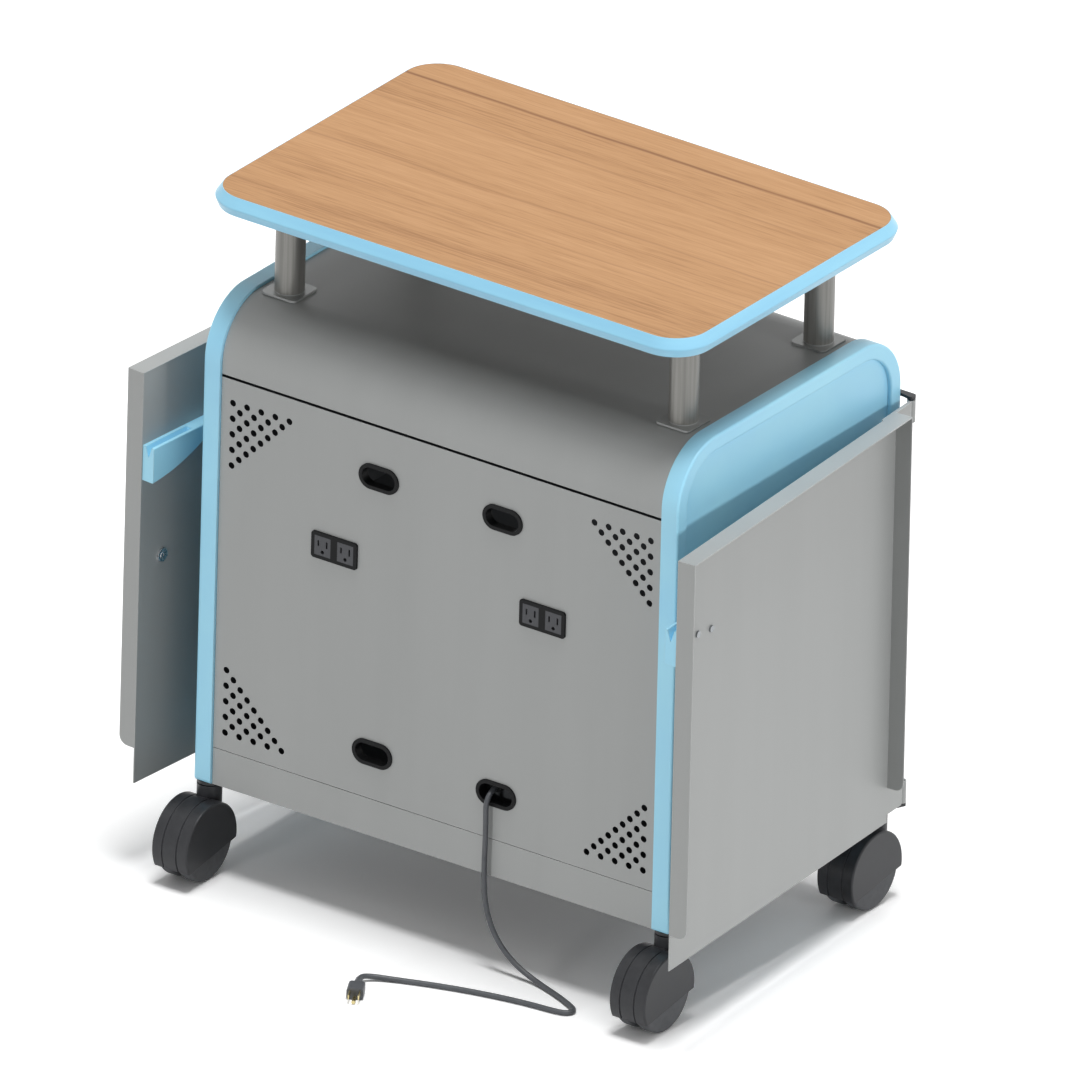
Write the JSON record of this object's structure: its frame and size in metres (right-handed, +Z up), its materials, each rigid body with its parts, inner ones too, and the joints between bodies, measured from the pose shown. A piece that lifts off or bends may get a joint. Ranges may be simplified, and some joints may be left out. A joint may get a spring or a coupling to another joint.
{
  "type": "presentation cart",
  "caption": "Two-door presentation cart: raised worktop on posts over a steel cabinet with moulded ends, perforated rear panel with power, on hooded swivel casters.",
  "frame": {"origin": "on the floor, below the middle of the cart's box with its doors folded back (cord left out)", "axes": "+X along the rear panel to the viewer's right, +Y from the rear panel to the door side, +Z up"},
  "size_m": [0.88, 0.7072, 0.934],
  "materials": {
    "oak_laminate": "satin laminate",
    "blue_edging": "smooth",
    "post_steel": "satin",
    "zinc_steel": "zinc plated",
    "grey_paint": "fine satin powder coat",
    "blue_plastic": "smooth satin",
    "black_plastic": "satin",
    "cord_rubber": "satin",
    "plug_plastic": "satin",
    "blade_brass": "bright",
    "lock_chrome": "polished",
    "hinge_steel": "black coat",
    "caster_plastic": "satin",
    "tread_rubber": "matt"
  },
  "bodies": {
    "cart": {"worktop_board": "oak_laminate", "worktop_edge_band": "blue_edging", "post_near_left": "post_steel", "post_near_right": "post_steel", "post_far_left": "post_steel", "post_far_right": "post_steel", "post_screws": "zinc_steel", "top_cover": "grey_paint", "right_end_panel": "blue_plastic", "left_end_panel": "blue_plastic", "rear_panel": "grey_paint", "base_pan": "grey_paint", "caster_channel_right": "zinc_steel", "caster_channel_left": "zinc_steel", "shelf": "grey_paint", "shelf_clips": "zinc_steel", "cable_grommets": "black_plastic", "outlet_left": "black_plastic", "outlet_right": "black_plastic", "wire_duct": "grey_paint", "junction_box": "grey_paint", "cord_gland": "black_plastic", "power_cord": "cord_rubber", "plug_body": "plug_plastic", "plug_blades": "blade_brass", "right_top_bracket": "hinge_steel", "right_low_bracket": "hinge_steel", "left_top_bracket": "hinge_steel", "left_low_bracket": "hinge_steel", "caster_plate_near_left": "hinge_steel", "caster_plate_near_right": "hinge_steel", "caster_plate_far_left": "hinge_steel", "caster_plate_far_right": "hinge_steel", "caster_bolts": "zinc_steel"},
    "right_door": {"right_door": "grey_paint", "right_handle": "blue_plastic", "right_handle_screws": "zinc_steel", "lock_keeper": "zinc_steel"},
    "left_door": {"left_door": "grey_paint", "left_handle": "blue_plastic", "left_handle_screws": "zinc_steel", "lock_barrel": "lock_chrome"},
    "lock_turn": {"lock_core": "lock_chrome", "lock_cam": "zinc_steel"},
    "swivel_near_left": {"caster_hood_near_left": "caster_plastic", "caster_axle_near_left": "zinc_steel"},
    "wheels_near_left": {"caster_wheels_near_left": "tread_rubber"},
    "swivel_near_right": {"caster_hood_near_right": "caster_plastic", "caster_axle_near_right": "zinc_steel"},
    "wheels_near_right": {"caster_wheels_near_right": "tread_rubber"},
    "swivel_far_left": {"caster_hood_far_left": "caster_plastic", "caster_axle_far_left": "zinc_steel"},
    "wheels_far_left": {"caster_wheels_far_left": "tread_rubber"},
    "swivel_far_right": {"caster_hood_far_right": "caster_plastic", "caster_axle_far_right": "zinc_steel"},
    "wheels_far_right": {"caster_wheels_far_right": "tread_rubber"}
  },
  "joints": [
    {"name": "right_door_swing", "type": "hinge", "parent": "cart", "child": "right_door", "pos_m": [0.37536, 0.26054, 0.4], "axis": [0, 0, 1], "range_deg": [-1.8, 266.2]},
    {"name": "left_door_swing", "type": "hinge", "parent": "cart", "child": "left_door", "pos_m": [-0.36864, 0.28654, 0.4], "axis": [0, 0, -1], "range_deg": [-2.5, 265.5]},
    {"name": "lock_turn", "type": "hinge", "parent": "left_door", "child": "lock_turn", "pos_m": [-0.40873, -0.22288, 0.416], "axis": [0.9969, -0.0785, 0], "range_deg": [0, 90]},
    {"name": "swivel_near_left", "type": "hinge", "parent": "cart", "child": "swivel_near_left", "pos_m": [-0.34414, -0.20346, 0.11], "axis": [0, 0, 1], "continuous": true},
    {"name": "roll_near_left", "type": "hinge", "parent": "swivel_near_left", "child": "wheels_near_left", "pos_m": [-0.34414, -0.23346, 0.05], "axis": [1, 0, 0], "continuous": true},
    {"name": "swivel_near_right", "type": "hinge", "parent": "cart", "child": "swivel_near_right", "pos_m": [0.35086, -0.20346, 0.11], "axis": [0, 0, 1], "continuous": true},
    {"name": "roll_near_right", "type": "hinge", "parent": "swivel_near_right", "child": "wheels_near_right", "pos_m": [0.35086, -0.23346, 0.05], "axis": [1, 0, 0], "continuous": true},
    {"name": "swivel_far_left", "type": "hinge", "parent": "cart", "child": "swivel_far_left", "pos_m": [-0.34414, 0.23854, 0.11], "axis": [0, 0, 1], "continuous": true},
    {"name": "roll_far_left", "type": "hinge", "parent": "swivel_far_left", "child": "wheels_far_left", "pos_m": [-0.34414, 0.20854, 0.05], "axis": [1, 0, 0], "continuous": true},
    {"name": "swivel_far_right", "type": "hinge", "parent": "cart", "child": "swivel_far_right", "pos_m": [0.35086, 0.23854, 0.11], "axis": [0, 0, 1], "continuous": true},
    {"name": "roll_far_right", "type": "hinge", "parent": "swivel_far_right", "child": "wheels_far_right", "pos_m": [0.35086, 0.20854, 0.05], "axis": [1, 0, 0], "continuous": true}
  ]
}
